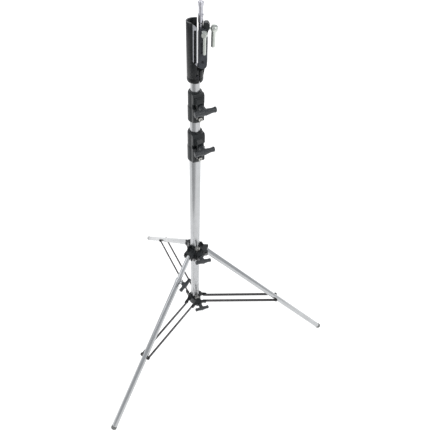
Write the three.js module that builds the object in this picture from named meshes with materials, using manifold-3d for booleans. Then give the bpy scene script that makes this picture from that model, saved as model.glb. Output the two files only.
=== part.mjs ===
// Convertible lighting stand: telescopic column, tripod base with one levelling leg, swivel rod head.
// Millimetres, +Z up. The floor is Z = 0 and the origin is the middle of the footprint on the floor.
// Leg 2 and the head's opening point along +X.

import * as THREE from "three";
import { mergeVertices } from "three/addons/utils/BufferGeometryUtils.js";
import Module from "manifold-3d";

const wasm = await Module();
wasm.setup();

// ---- Driving dimensions ------------------------------------------------------------------------------

const DEG = Math.PI / 180;
const GAP = 0.4;                    // clearance between pieces that touch or slide
const TUBE_SIDES = 22;
const LEG_SIDES = 14;
const SMALL_SIDES = 10;             // pins, screws, knobs and other small round pieces

// Telescopic tubes, thinnest last: outer radius, wall, foot height, top height.
const COLUMN = { r: 17.5, wall: 1.5, bottom: 180, top: 1006 };
const RISER = { r: 15, wall: 1.4, bottom: 216, top: 1130 };
const TOP = { r: 12.5, wall: 1.4, bottom: 252, top: 1228 };

// Tripod base.
const LEG_AZIMUTH = [240, 0, 120];  // leg 1 is the levelling leg
const KNOB_AZIMUTH = 300;           // every clamp knob sits between legs 1 and 2
const LEG = { r: 11, wall: 1.2, pivotX: 43.6, pivotZ: 532.3, lean: 46.32 * DEG };
const LEG_START = -6;               // along the leg, from its pivot
const LEG_END = 748;
const FOOT_END = 762;
const BRACE_AT = 430;               // brace bolt, along the leg from its pivot
const BRACE = { pivotX: 40.35, pivotZ: 200.7, length: 316.1, rise: 6.28 * DEG };
const BAR = { inner: 13.4, outer: 17.4, half: 7.2 };
const EAR_OUTER = 22.6;             // outside of the lower spider's ears, from the middle of the fork
const FORK = { inner: 12, outer: 17.4 };
const SPIDER_R = 24.5;

// Levelling leg: a thinner bar at the spider slides into the leg tube, held by a clamp.
const LEVEL_BAR = { r: 9.4, wall: 1.6, end: 240 };
const LEVEL_TUBE_START = 96;
const LEVEL_CLAMP = { from: 92, to: 109, screwAt: 102, r: LEG.r + 1.6 };

// Riser collars: lowest edge, height, outer radius, and parts of the height for the clamp and the bolt.
const BASE_COLLAR = { z: 960, h: 98, r: 23 };
const RISER_COLLAR = { z: 1090, h: 85, r: 20.5 };
const CLAMP_PART = 0.62;
const BOLT_PART = 0.2;

// Clamp knobs: where the bar is, out from the column, and its roll about the stud.
const KNOB_BAR = 31;                // half length
const COLLAR_KNOB = { x: 60, roll: 1 };
const SPIDER_KNOB = { x: 69, roll: -14 };
const LEVEL_KNOB = { hub: 20, bar: 33 };
const UPPER_KNOB_Z = 537;
const LOWER_KNOB_Z = 207;
const STUD_R = 3.8;
const STUD_HOLE = 4.3;

// Head.
const HOUSING = { r: 21.5, inner: 17.6, bottom: 1199, sill: 1232, top: 1341, cutX: 6.5, backCutX: 3.5 };
const FLAT_Y = 20.3;                // milled flat on the front, out from the axis
const SLOT = { x: 1, half: 2.7, bottom: 1254, top: 1324 };
const HEAD_SCREW = { x: 8.2, z: 1219.5 };
const PIVOT = { x: 18.8, z: 1252 };
const BRACKET = { x0: 7.4, x1: 30, y: 12, top: 1327, endZ: 1246, end: 11.2 };
const ROD_X = 12.9;
const ROD = { r: 5.2, bottom: 1266, top: 1380 };
const TILT_LEVER = { x: 22, z: 1318.5, hub: 14.4, hubR: 8.4, length: 46, shift: 1.2, r: 3.8 };
const ROD_LEVER = { z: 1324.5, hub: 37.4, hubR: 9.4, length: 41, shift: 0, r: 5.1 };

// ---- Colours -----------------------------------------------------------------------------------------

const paint = (color, metalness, roughness) => ({ color, metalness, roughness });
const BRIGHT = paint(0xd3d6d8, 1, 0.25);
const BLACK_CAST = paint(0x17191b, 0.3, 0.4);
const BLACK_PLASTIC = paint(0x1c1e20, 0, 0.5);
const STEEL = paint(0xbfc1bd, 1, 0.35);
const GREY_PLUG = paint(0x8f918e, 0, 0.6);
const NYLON = paint(0xe6e4da, 0, 0.5);

// ---- Solids: closed geometries that can be joined and cut --------------------------------------------

function facesOut(geometry) {
  const position = geometry.attributes.position;
  const index = geometry.index.array;
  const [a, b, c] = [new THREE.Vector3(), new THREE.Vector3(), new THREE.Vector3()];
  let volume = 0;
  for (let i = 0; i < index.length; i += 3) {
    a.fromBufferAttribute(position, index[i]);
    b.fromBufferAttribute(position, index[i + 1]);
    c.fromBufferAttribute(position, index[i + 2]);
    volume += a.dot(b.cross(c));
  }
  if (volume < 0) {
    for (let i = 0; i < index.length; i += 3) [index[i], index[i + 1]] = [index[i + 1], index[i]];
  }
  return geometry;
}

function closed(geometry) {
  geometry.deleteAttribute("normal");
  geometry.deleteAttribute("uv");
  return facesOut(mergeVertices(geometry, 1e-4));
}

function toSolid(geometry) {
  const vertProperties = new Float32Array(geometry.attributes.position.array);
  const triVerts = new Uint32Array(geometry.index.array);
  return new wasm.Manifold(new wasm.Mesh({ numProp: 3, vertProperties, triVerts }));
}

function fromSolid(manifold) {
  const { vertProperties, triVerts } = manifold.getMesh();
  const geometry = new THREE.BufferGeometry();
  geometry.setAttribute("position", new THREE.BufferAttribute(vertProperties.slice(), 3));
  geometry.setIndex(new THREE.BufferAttribute(triVerts.slice(), 1));
  return geometry;
}

const join = (...parts) => fromSolid(parts.map(toSolid).reduce((all, part) => all.add(part)));

function cut(base, ...tools) {
  return fromSolid(tools.map(toSolid).reduce((rest, tool) => rest.subtract(tool), toSolid(base)));
}

// Turned about Z. The outline is [radius, z] points, on the axis at both ends or back at its start.
function turned(outline, sides = TUBE_SIDES) {
  const lathe = new THREE.LatheGeometry(outline.map(([r, z]) => new THREE.Vector2(r, z)), sides);
  return closed(lathe.rotateX(Math.PI / 2));
}

function rod(r, z0, z1, sides = SMALL_SIDES) {
  return turned([[0, z0], [r, z0], [r, z1], [0, z1]], sides);
}

function pipe(r, wall, z0, z1, sides = TUBE_SIDES) {
  return turned([[r - wall, z0], [r, z0], [r, z1], [r - wall, z1], [r - wall, z0]], sides);
}

// The same, lying along +X or +Y.
const alongX = (geometry, z = 0) => geometry.rotateY(Math.PI / 2).translate(0, 0, z);
const alongY = (geometry, x = 0, z = 0) => geometry.rotateX(-Math.PI / 2).translate(x, 0, z);

function block(x0, x1, y0, y1, z0, z1) {
  const box = new THREE.BoxGeometry(x1 - x0, y1 - y0, z1 - z0);
  return closed(box.translate((x0 + x1) / 2, (y0 + y1) / 2, (z0 + z1) / 2));
}

// A flat plate: its outline is [x, z] points or a shape, and it spans y0 to y1.
function plate(outline, y0, y1) {
  const points = Array.isArray(outline) ? outline.map(([x, z]) => new THREE.Vector2(x, z)) : null;
  const shape = points ? new THREE.Shape(points) : outline;
  const slab = new THREE.ExtrudeGeometry(shape, { depth: y1 - y0, bevelEnabled: false, curveSegments: 6 });
  return closed(slab.rotateX(Math.PI / 2).translate(0, y1, 0));
}

// ---- Scene graph -------------------------------------------------------------------------------------

const stand = new THREE.Group();

function add(name, geometry, material, parent = stand) {
  const mesh = new THREE.Mesh(geometry, new THREE.MeshStandardMaterial(material));
  mesh.name = name;
  parent.add(mesh);
  return mesh;
}

// A group turned to an azimuth about the column.
function facing(azimuth, parent = stand) {
  const group = new THREE.Group();
  group.rotation.z = azimuth * DEG;
  parent.add(group);
  return group;
}

// A group at a point of a leg's plane, with +X along the leg or the brace.
function along(azimuth, x, z, dip) {
  const group = new THREE.Group();
  group.position.set(x, 0, z);
  group.rotation.y = dip;
  facing(azimuth).add(group);
  return group;
}

// ---- Clamp knobs: a T bar moulded on a threaded stud -------------------------------------------------

// Axis along +X. The stud starts at stud, the hub at hub, and the bar lies across at bar.
function clampKnob(stud, hub, bar) {
  const neck = [[0, hub], [7, hub], [8.5, hub + 3], [7.5, bar], [6, bar + 7.6], [0, bar + 7.6]];
  const half = [[8.5, 0], [8.2, 9], [7, 16], [6.9, 23], [7.9, 28], [7.5, KNOB_BAR], [0, KNOB_BAR]];
  const other = half.slice(1).reverse().map(([r, z]) => [r, -z]);
  return join(
    alongX(rod(STUD_R, stud, hub + 4)),
    alongX(turned(neck, SMALL_SIDES)),
    alongY(turned([...other, ...half], SMALL_SIDES), bar),
  );
}

function addKnob(name, z, stud, hub, { x, roll }) {
  const mesh = add(name, clampKnob(stud, hub, x), BLACK_PLASTIC, facing(KNOB_AZIMUTH));
  mesh.position.z = z;
  mesh.rotation.x = roll * DEG;
}

// ---- Spiders -----------------------------------------------------------------------------------------

const SHOE = { half: 9.5, depth: 6, below: 10 };   // clamp shoe of a spider
const SPIDER_BOSS = 45;                            // end of a spider's clamp boss

// A casting round the column with three forks, a clamp boss towards the knob and a pocket for the shoe.
function spider({ z, low, high, ears, hole, knobZ, bossLow, bossHigh }) {
  const bore = COLUMN.r + GAP;
  const ring = [
    [bore - 2, z + low], [SPIDER_R, z + low], [SPIDER_R + 1, z + low + 4],
    [SPIDER_R, z + high], [bore - 2, z + high], [bore - 2, z + low],
  ];
  const boss = [
    [16, knobZ + bossLow], [40, knobZ + bossLow + 4], [SPIDER_BOSS, knobZ - 9],
    [SPIDER_BOSS, knobZ + 9], [34, knobZ + bossHigh], [16, knobZ + bossHigh],
  ];
  const body = [turned(ring), plate(boss, -11.5, 11.5).rotateZ(KNOB_AZIMUTH * DEG)];
  const holes = [
    rod(bore, z + low - 40, z + high + 40, TUBE_SIDES),
    alongX(rod(STUD_HOLE, 10, 60), knobZ).rotateZ(KNOB_AZIMUTH * DEG),
    block(14, 25, -10, 10, knobZ - 12, knobZ + 60).rotateZ(KNOB_AZIMUTH * DEG),
  ];
  for (const azimuth of LEG_AZIMUTH) {
    for (const [y0, y1] of [[ears.inner, ears.outer], [-ears.outer, -ears.inner]]) {
      body.push(plate(ears.outline.map(([x, dz]) => [x, z + dz]), y0, y1).rotateZ(azimuth * DEG));
    }
    if (ears.web) {
      const { x0, x1, z0, z1 } = ears.web;
      body.push(block(x0, x1, -ears.outer, ears.outer, z + z0, z + z1).rotateZ(azimuth * DEG));
    }
    holes.push(alongY(rod(hole.r, -30, 30), hole.x, z).rotateZ(azimuth * DEG));
  }
  return cut(join(...body), ...holes);
}

// The pad between the knob's stud and a tube of radius r.
function clampShoe(r, depth, half, z0, z1) {
  const pad = block(r - 3, r + GAP + depth, -half, half, z0, z1);
  return cut(pad, rod(r + GAP, z0 - 1, z1 + 1, TUBE_SIDES));
}

function addSpider(prefix, knobZ, shoeTop, size) {
  add(`${prefix}_spider`, spider({ ...size, knobZ }), BLACK_CAST);
  const shoe = clampShoe(COLUMN.r, SHOE.depth, SHOE.half, knobZ - SHOE.below, knobZ + shoeTop);
  add(`${prefix}_clamp_shoe`, shoe, STEEL, facing(KNOB_AZIMUTH));
  addKnob(`${prefix}_spider_knob`, knobZ, COLUMN.r + SHOE.depth + 1.1, SPIDER_BOSS + 0.6, SPIDER_KNOB);
}

// The leg forks have a web over the top, the brace forks are open.
const UPPER_EAR = [
  [13, 30], [25, 31], [32, 16], [50, 16], [50, -8],
  [46, -12], [37, -14], [29, -32], [13, -32],
];
const UPPER_WEB = { x0: 20, x1: 46, z0: 13, z1: 16 };
const LOWER_EAR = [
  [6, 24], [22, 22], [30, 10], [48, 9], [51, 5],
  [51, -5], [48, -9], [30, -10], [24, -18], [6, -18],
];

addSpider("upper", UPPER_KNOB_Z, 23, {
  z: LEG.pivotZ, low: -32, high: 20, bossLow: -30, bossHigh: 12,
  ears: { ...FORK, outline: UPPER_EAR, web: UPPER_WEB }, hole: { r: 4, x: LEG.pivotX },
});
addSpider("lower", LOWER_KNOB_Z, 21, {
  z: BRACE.pivotZ, low: -19, high: 24, bossLow: -22, bossHigh: 12,
  ears: { inner: BAR.outer + GAP, outer: EAR_OUTER, outline: LOWER_EAR }, hole: { r: 3.5, x: BRACE.pivotX },
});

// ---- Legs --------------------------------------------------------------------------------------------

const DIP = 90 * DEG - LEG.lean;     // a leg's slope below the horizontal
const PIN = { r: 3.5, head: 6, thick: 3 };
const BOLT = { r: 4, head: 7, half: 12.9 };

// A headed pin along Z, its shank between the two heads.
function headedPin({ r, head }, reach, end) {
  return turned([
    [0, -end], [head, -end], [head, -reach], [r, -reach],
    [r, reach], [head, reach], [head, end], [0, end],
  ], SMALL_SIDES);
}

// In a leg's own frame: origin at the pivot, +X towards the foot.
const legPipe = (r, wall, from, to) => alongX(pipe(r, wall, from, to, LEG_SIDES));
const legRod = (r, from, to) => alongX(rod(r, from, to, LEG_SIDES));

function footPlug() {
  const spigot = LEG.r - LEG.wall - 0.3;
  const cap = LEG.r + 0.4;
  const shape = turned([
    [0, LEG_END - 16], [spigot, LEG_END - 16], [spigot, LEG_END + 0.3], [cap, LEG_END + 0.3],
    [cap, FOOT_END - 2], [LEG.r - 1.6, FOOT_END], [0, FOOT_END],
  ], LEG_SIDES);
  // What is below the floor is worn away, which leaves a small flat.
  const below = block(-900, 900, -50, 50, -60, 0).translate(-LEG.pivotX, 0, -LEG.pivotZ).rotateY(-DIP);
  return cut(alongX(shape), below);
}

// The slit end of the levelling tube is pinched by a thin band with a threaded lug for the knob.
function levellingClamp(screwHole) {
  const { from, to, screwAt, r } = LEVEL_CLAMP;
  const shoulder = LEVEL_TUBE_START - 0.6;
  return cut(
    join(legPipe(r, 4, from, to), alongY(rod(6.5, LEG.r, LEVEL_KNOB.hub - 0.6), screwAt)),
    legRod(LEG.r + GAP, shoulder, 200),
    legRod(LEVEL_BAR.r + 0.6, 0, 200),
    screwHole,
  );
}

LEG_AZIMUTH.forEach((azimuth, i) => {
  const number = i + 1;
  const place = (name, geometry, material) => {
    add(name, geometry, material, along(azimuth, LEG.pivotX, LEG.pivotZ, DIP));
  };
  const pivotHole = alongY(rod(PIN.r + 0.5, -30, 30));
  const boltHole = alongY(rod(BOLT.r + 0.5, -30, 30), BRACE_AT);
  if (number === 1) {
    const screwHole = alongY(rod(STUD_HOLE, 0, 30), LEVEL_CLAMP.screwAt);
    const bar = legPipe(LEVEL_BAR.r, LEVEL_BAR.wall, LEG_START, LEVEL_BAR.end);
    place("levelling_bar", cut(bar, pivotHole), BRIGHT);
    const tube = legPipe(LEG.r, LEG.wall, LEVEL_TUBE_START, LEG_END);
    place("leg_tube_1", cut(tube, boltHole, screwHole), BRIGHT);
    place("levelling_clamp", levellingClamp(screwHole), STEEL);
  } else {
    const tube = legPipe(LEG.r, LEG.wall, LEG_START, LEG_END);
    place(`leg_tube_${number}`, cut(tube, pivotHole, boltHole), BRIGHT);
  }
  const outside = FORK.outer + GAP;
  place(`leg_pin_${number}`, alongY(headedPin(PIN, outside, outside + PIN.thick)), STEEL);
  place(`foot_plug_${number}`, footPlug(), GREY_PLUG);
  place(`brace_bolt_${number}`, alongY(headedPin(BOLT, LEG.r + 0.5, BOLT.half), BRACE_AT), STEEL);
});

// The levelling knob looks sideways out of the levelling leg, its bar level and radial.
const levellingKnob = new THREE.Group();
levellingKnob.position.set(
  LEG.pivotX + LEVEL_CLAMP.screwAt * Math.sin(LEG.lean),
  0,
  LEG.pivotZ - LEVEL_CLAMP.screwAt * Math.cos(LEG.lean),
);
levellingKnob.rotation.z = 90 * DEG;
facing(LEG_AZIMUTH[0]).add(levellingKnob);
const levellingKnobShape = clampKnob(LEVEL_BAR.r + 0.5, LEVEL_KNOB.hub, LEVEL_KNOB.bar);
add("levelling_knob", levellingKnobShape, BLACK_PLASTIC, levellingKnob);

// ---- Braces ------------------------------------------------------------------------------------------

// A flat bar with round ends, holed for its rivet at the spider and headed at the leg.
function braceBar(side) {
  const outline = new THREE.Shape();
  outline.absarc(BRACE.length, 0, BAR.half, -Math.PI / 2, Math.PI / 2, false);
  outline.absarc(0, 0, BAR.half, Math.PI / 2, 1.5 * Math.PI, false);
  const near = side * (BAR.outer - 1);
  const far = side * (BAR.outer + 3.6);
  const head = turned([[0, near], [5.6, near], [5.6, far], [0, far]], SMALL_SIDES);
  const flat = plate(outline, ...[side * BAR.inner, side * BAR.outer].sort((a, b) => a - b));
  return cut(join(flat, alongY(head, BRACE.length)), alongY(rod(3.5, -30, 30)));
}

function braceRivet(side) {
  const [inside, outside] = [BAR.inner - GAP, EAR_OUTER + GAP];
  const outline = [
    [0, inside - 2.6], [5, inside - 2.6], [5, inside], [3, inside],
    [3, outside], [5, outside], [5, outside + 1.8], [0, outside + 1.8],
  ];
  return alongY(turned(outline.map(([r, y]) => [r, side * y]), SMALL_SIDES));
}

LEG_AZIMUTH.forEach((azimuth, i) => {
  for (const [word, side] of [["left", 1], ["right", -1]]) {
    const place = (name, geometry, material) => {
      add(name, geometry, material, along(azimuth, BRACE.pivotX, BRACE.pivotZ, -BRACE.rise));
    };
    place(`brace_bar_${i + 1}_${word}`, braceBar(side), BLACK_CAST);
    place(`brace_rivet_${i + 1}_${word}`, braceRivet(side), STEEL);
  }
});

// ---- Column, risers and collars ----------------------------------------------------------------------

// A plug in the lower end of a tube, with a flange below it.
function plugFor(tube, length, flange, flangeHeight) {
  const spigot = tube.r - tube.wall - 0.3;
  const z = tube.bottom;
  return turned([
    [0, z - flangeHeight], [flange, z - flangeHeight], [flange, z - GAP],
    [spigot, z - GAP], [spigot, z + length], [0, z + length],
  ]);
}

function addTube(name, { r, wall, bottom, top }) {
  add(name, pipe(r, wall, bottom, top), BRIGHT);
}

addTube("column_tube", COLUMN);
addTube("riser_tube", RISER);
addTube("top_tube", TOP);
add("column_end_plug", plugFor(COLUMN, 20, COLUMN.r, 3), BLACK_PLASTIC);
add("riser_foot_bush", plugFor(RISER, 18, COLUMN.r - COLUMN.wall - GAP, 10), NYLON);
add("top_foot_bush", plugFor(TOP, 18, RISER.r - RISER.wall - GAP, 10), NYLON);

// A collar casting: a socket on the lower tube, a bore for the sliding tube, and a squared front with the
// clamp. The clamp's pocket goes right across, so the shoe shows on both sides of the boss.
function collar({ z, h, r }, lower, upper) {
  const up = (part) => z + part * h;
  const bore = upper.r - 2;
  const knobZ = up(CLAMP_PART);
  const ring = [
    [bore, z], [r - 2, z], [r, z + 3], [r, up(0.5)], [r - 1, up(0.53)],
    [r - 1, up(0.95)], [r - 3, up(1)], [bore, up(1)], [bore, z],
  ];
  const front = [[2, z + 4], [r + 1, z + 4], [r + 3, z + 8], [r + 3, up(0.9)], [r, up(0.98)], [2, up(0.98)]];
  const boss = [
    [12, up(0.4)], [r + 6, up(0.42)], [r + 13, up(0.5)],
    [r + 13, up(0.74)], [r + 5, up(0.84)], [12, up(0.84)],
  ];
  const foot = [[0, 8], [12, 8], [12, r + 6], [9.5, r + 9], [0, r + 9]];
  return cut(
    join(
      turned(ring),
      plate(front, 4 - r, r - 4),
      plate(boss, -10.5, 10.5),
      alongX(turned(foot, SMALL_SIDES + 4), up(BOLT_PART)),
    ),
    rod(lower.r + 0.3, z - 1, lower.top + GAP, TUBE_SIDES),
    rod(upper.r + GAP, z - 1, up(1) + 1, TUBE_SIDES),
    block(upper.r - 4, r + 4.6, -7.5, 7.5, knobZ - 11, knobZ + 11),
    block(r - 4, r + 9, -r, r, knobZ - 8, knobZ + 4),
    alongX(rod(STUD_HOLE, 10, r + 30), knobZ),
    alongX(rod(3.4, 10, r + 30), up(BOLT_PART)),
  );
}

function addCollar(name, size, lower, upper) {
  const { z, h, r } = size;
  const knobZ = z + CLAMP_PART * h;
  add(name, collar(size, lower, upper), BLACK_CAST, facing(KNOB_AZIMUTH));
  add(`${name}_shoe`, clampShoe(upper.r, 4.5, 7, knobZ - 10, knobZ + 10), STEEL, facing(KNOB_AZIMUTH));
  const head = r + 9.4;
  const bolt = turned([
    [0, lower.r + 0.6], [3, lower.r + 0.6], [3, head], [5.5, head],
    [5.5, head + 4.5], [3, head + 4.5], [2.6, head + 2], [0, head + 2],
  ], SMALL_SIDES);
  add(`${name}_bolt`, alongX(bolt, z + BOLT_PART * h), STEEL, facing(KNOB_AZIMUTH));
  addKnob(`${name}_knob`, knobZ, upper.r + 5.4, r + 13.6, COLLAR_KNOB);
}

addCollar("base_collar", BASE_COLLAR, COLUMN, RISER);
addCollar("riser_collar", RISER_COLLAR, RISER, TOP);

// ---- Head --------------------------------------------------------------------------------------------

// A tube with a closed lower end that grips the top tube. Above the sill the wall is cut away towards +X, the
// front carries a milled flat with a window, and a tongue at the sill holds the bracket's pivot.
function headHousing() {
  const { r, inner, bottom, sill, top, cutX, backCutX } = HOUSING;
  const neck = TOP.r - 2;
  const shell = turned([
    [neck, bottom], [r - 5, bottom], [r - 2, bottom + 2], [r, bottom + 6],
    [r, top], [inner, top], [inner, sill - 2], [neck, sill - 2], [neck, bottom],
  ]);
  const tongue = new THREE.Shape();
  tongue.moveTo(inner - 3, bottom + 16);
  tongue.lineTo(r - 0.5, bottom + 16);
  tongue.lineTo(PIVOT.x + 8, PIVOT.z - 6);
  tongue.absarc(PIVOT.x, PIVOT.z, 8.6, -0.5, Math.PI, false);
  tongue.lineTo(PIVOT.x - 8.6, sill - 3);
  const frontCut = [
    [cutX, sill + 4], [12, sill], [40, sill], [40, top + 9], [-8, top + 9], [-8, top], [cutX, top - 9],
  ];
  const backCut = [[backCutX, sill + 4], [12, sill], [40, sill], [40, top + 9], [backCutX, top + 9]];
  const flat = [[-9, sill + 26], [cutX + 1, sill + 8], [cutX + 1, top + 5], [-9, top + 5]];
  const window = [[-4.6, sill + 24], [cutX + 1, sill + 12], [cutX + 1, top + 5], [-4.6, top + 5]];
  const shellCut = cut(
    shell,
    plate(frontCut, -40, 0),
    plate(backCut, -0.5, 40),
    plate(flat, -40, -FLAT_Y),
    plate(window, -40, -10),
  );
  return cut(
    join(shellCut, plate(tongue, -4.6, 4.6)),
    rod(TOP.r + 0.3, bottom - 1, TOP.top + GAP, TUBE_SIDES),
    alongY(rod(3.3, -10, 10), PIVOT.x, PIVOT.z),
    block(11, 13, -30, 0, bottom - 1, sill + 1),
    alongY(rod(2.4, -40, 0), HEAD_SCREW.x, HEAD_SCREW.z),
  );
}

// The bright slotted strip that fills the window in the milled flat.
function slotPlate() {
  const { sill, top, cutX } = HOUSING;
  const strip = [[-4.2, sill + 24.6], [cutX, sill + 13], [cutX, top - 9.6], [-4.2, top - 3.2]];
  const slot = new THREE.Shape();
  slot.absarc(SLOT.x, SLOT.top, SLOT.half, 0, Math.PI, false);
  slot.absarc(SLOT.x, SLOT.bottom, SLOT.half, Math.PI, 2 * Math.PI, false);
  return cut(plate(strip, -FLAT_Y, -16.8), plate(slot, -40, 0));
}

const headScrew = [[0, -24], [3.4, -24], [3.4, -22], [2, -22], [2, -13.2], [0, -13.2]];
add("head_housing", headHousing(), BLACK_CAST);
add("slot_plate", slotPlate(), BRIGHT);
add("head_clamp_screw", alongY(turned(headScrew, SMALL_SIDES), HEAD_SCREW.x, HEAD_SCREW.z), STEEL);
add("boom_pivot_pin", alongY(rod(3, 1 - BRACKET.y, BRACKET.y - 1), PIVOT.x, PIVOT.z), STEEL);

// The swivel bracket: two cheeks round the tongue, a bore for the rod and a pocket for the jaw at its top.
function boomBracket() {
  const { x0, x1, y, top, endZ, end } = BRACKET;
  const side = new THREE.Shape();
  side.moveTo(x0, top - 6);
  side.lineTo(x0, endZ);
  side.absarc(PIVOT.x, endZ, end, Math.PI, 2 * Math.PI, false);
  side.lineTo(x1, top - 26);
  side.lineTo(x1 - 3, top - 20);
  side.lineTo(x1 - 3, top);
  side.lineTo(x0 + 4, top);
  return cut(
    plate(side, -y, y),
    block(x0 - 5, x1 + 5, -5, 5, endZ - 20, ROD.bottom - 3),
    rod(ROD.r + GAP, ROD.bottom - 10, top + 10, LEG_SIDES).translate(ROD_X, 0, 0),
    block(14.5, 18.5, -y - 1, -y + 3, PIVOT.z + 20, top - 30),
    block(x1 - 9.6, x1 + 5, -8.4, 8.4, top - 15, top + 5),
    alongY(rod(3.4, -30, 30), PIVOT.x, PIVOT.z),
    alongY(rod(3.4, -30, -6.8), TILT_LEVER.x, TILT_LEVER.z - 8),
  );
}

// The jaw that the rod lever presses against the rod.
function rodJaw() {
  const { x1, top } = BRACKET;
  const back = x1 - 9.2;
  const brow = ROD_X + ROD.r + 0.8;
  const outline = [
    [back, top - 14.4], [x1 - 2, top - 14.4], [x1 + 4, top + 1], [x1 + 4, top + 6], [x1, top + 12],
    [brow + 2.6, top + 12], [brow, top + 9], [brow, top + 0.6], [back, top + 0.6],
  ];
  return cut(plate(outline, -8, 8), alongX(rod(3.6, back + 1.7, 50), ROD_LEVER.z));
}

// The rod: a plain shank, a step, a neck and a flared stud.
const STUD_NECK = 5.2;
const STUD_HEAD = 6.8;
const ROD_OUTLINE = [
  [0, ROD.bottom], [ROD.r - 0.6, ROD.bottom], [ROD.r, ROD.bottom + 1], [ROD.r, 1336], [6, 1338],
  [6, 1351], [STUD_HEAD, 1352.5], [STUD_HEAD, 1354], [STUD_NECK, 1355.5], [STUD_NECK, 1369],
  [STUD_HEAD, 1373.5], [STUD_HEAD, 1378], [6, ROD.top], [0, ROD.top],
];

add("boom_bracket", boomBracket(), BLACK_CAST);
add("rod_clamp_jaw", rodJaw(), BLACK_CAST);
add("boom_rod", turned(ROD_OUTLINE, LEG_SIDES).translate(ROD_X, 0, 0), STEEL);

// A ratchet lever: a knurled hub on the screw's axis (+X) and a round handle hanging from it, set to one
// side of the hub by shift.
function ratchetLever({ hub, hubR, length, shift, r }) {
  const core = [
    [0, hub], [5.5, hub], [hubR - 1, hub + 2], [hubR, hub + 5], [hubR - 1, hub + 10],
    [5.5, hub + 15], [0, hub + 15],
  ];
  const handle = [
    [0, -length], [r - 1, -length], [r, -length + 2], [r, -8], [r - 0.4, -1], [0, -1],
  ];
  return cut(
    join(alongX(turned(core, SMALL_SIDES)), turned(handle, SMALL_SIDES).translate(hub + 5.5, shift, 0)),
    alongX(rod(3.2, hub - 2, hub + 8)),
  );
}

const leverScrew = (from, to) => alongX(rod(2.8, from, to));

const rodLever = new THREE.Group();
rodLever.position.z = ROD_LEVER.z;
stand.add(rodLever);
add("rod_lever", ratchetLever(ROD_LEVER), STEEL, rodLever);
add("rod_lever_screw", leverScrew(BRACKET.x1 - 7, ROD_LEVER.hub + 7.6), STEEL, rodLever);

const tiltLever = new THREE.Group();
tiltLever.position.set(TILT_LEVER.x, 0, TILT_LEVER.z);
tiltLever.rotation.z = -90 * DEG;
stand.add(tiltLever);
add("tilt_lever", ratchetLever(TILT_LEVER), STEEL, tiltLever);
add("tilt_lever_screw", leverScrew(BRACKET.y + GAP, TILT_LEVER.hub + 7.6), STEEL, tiltLever);

// ---- The origin is the middle of the footprint -------------------------------------------------------

const footprint = new THREE.Box3().setFromObject(stand, true);
stand.position.x = -(footprint.min.x + footprint.max.x) / 2;
stand.position.y = -(footprint.min.y + footprint.max.y) / 2;

export default stand;
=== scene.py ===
"""Looks of the convertible lighting stand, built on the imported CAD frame. Metres, +Z up.

Shapes are worked out in millimetres in the frame of their own part, as closed solids, and scaled when placed.
"""
import math

import bmesh
import bpy
from mathutils import Matrix, Vector


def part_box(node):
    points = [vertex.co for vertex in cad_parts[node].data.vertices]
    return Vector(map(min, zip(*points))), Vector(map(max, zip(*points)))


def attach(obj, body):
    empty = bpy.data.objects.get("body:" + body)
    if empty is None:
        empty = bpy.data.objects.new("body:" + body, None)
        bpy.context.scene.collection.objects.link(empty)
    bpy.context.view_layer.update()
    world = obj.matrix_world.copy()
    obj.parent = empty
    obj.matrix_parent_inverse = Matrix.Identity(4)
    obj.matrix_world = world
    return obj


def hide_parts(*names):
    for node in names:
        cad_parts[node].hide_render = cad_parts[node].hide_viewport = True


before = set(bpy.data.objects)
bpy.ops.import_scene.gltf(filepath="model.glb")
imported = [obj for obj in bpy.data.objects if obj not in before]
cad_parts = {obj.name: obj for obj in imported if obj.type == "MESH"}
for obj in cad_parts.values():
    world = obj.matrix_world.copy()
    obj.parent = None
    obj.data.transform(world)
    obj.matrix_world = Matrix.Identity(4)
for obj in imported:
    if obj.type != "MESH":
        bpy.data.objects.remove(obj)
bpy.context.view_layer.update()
MM = 0.001
PI = math.pi

# ---- Camera, light and floor ---------------------------------------------------------------------

column_low, column_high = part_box("column_tube")
AXIS_X = (column_low.x + column_high.x) / 2          # the column's axis; its Y is 0

camera_data = bpy.data.cameras.new("camera")
camera = bpy.data.objects.new("camera", camera_data)
bpy.context.scene.collection.objects.link(camera)
bpy.context.scene.camera = camera
TURN, DOWN = math.radians(3.465), math.radians(48.436)
camera.location = (AXIS_X + 0.05767, -0.95245, 1.66105)
forward = Vector((-math.sin(TURN) * math.cos(DOWN), math.cos(TURN) * math.cos(DOWN), -math.sin(DOWN)))
camera.rotation_mode = "QUATERNION"
camera.rotation_quaternion = forward.to_track_quat("-Z", "Y")
camera_data.lens = 31.94
camera_data.shift_x = 0.0485
camera_data.shift_y = 0.0569
camera_data.clip_start = 0.05

bpy.context.scene.view_settings.view_transform = "Standard"


def area_light(name, place, target, size, power, colour=(1, 1, 1)):
    data = bpy.data.lights.new(name, "AREA")
    data.shape = "RECTANGLE"
    data.size, data.size_y = size
    data.energy = power
    data.color = colour
    light = bpy.data.objects.new(name, data)
    light.location = place
    light.rotation_mode = "QUATERNION"
    light.rotation_quaternion = (Vector(target) - Vector(place)).to_track_quat("-Z", "Y")
    bpy.context.scene.collection.objects.link(light)
    return light


area_light("key", (1.9, -1.6, 2.9), (-0.1, 0, 0.8), (1.4, 1.4), 20)
area_light("fill", (-2.4, -1.0, 2.2), (-0.1, 0, 0.8), (1.0, 2.0), 8)
area_light("back", (-0.6, 2.6, 3.0), (-0.1, 0, 0.8), (2.6, 1.2), 16)

world = bpy.data.worlds.new("studio")
bpy.context.scene.world = world
world.use_nodes = True
world.node_tree.nodes["Background"].inputs["Color"].default_value = (0.95, 0.97, 1, 1)
world.node_tree.nodes["Background"].inputs["Strength"].default_value = 0.68

# ---- Materials -----------------------------------------------------------------------------------


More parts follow.
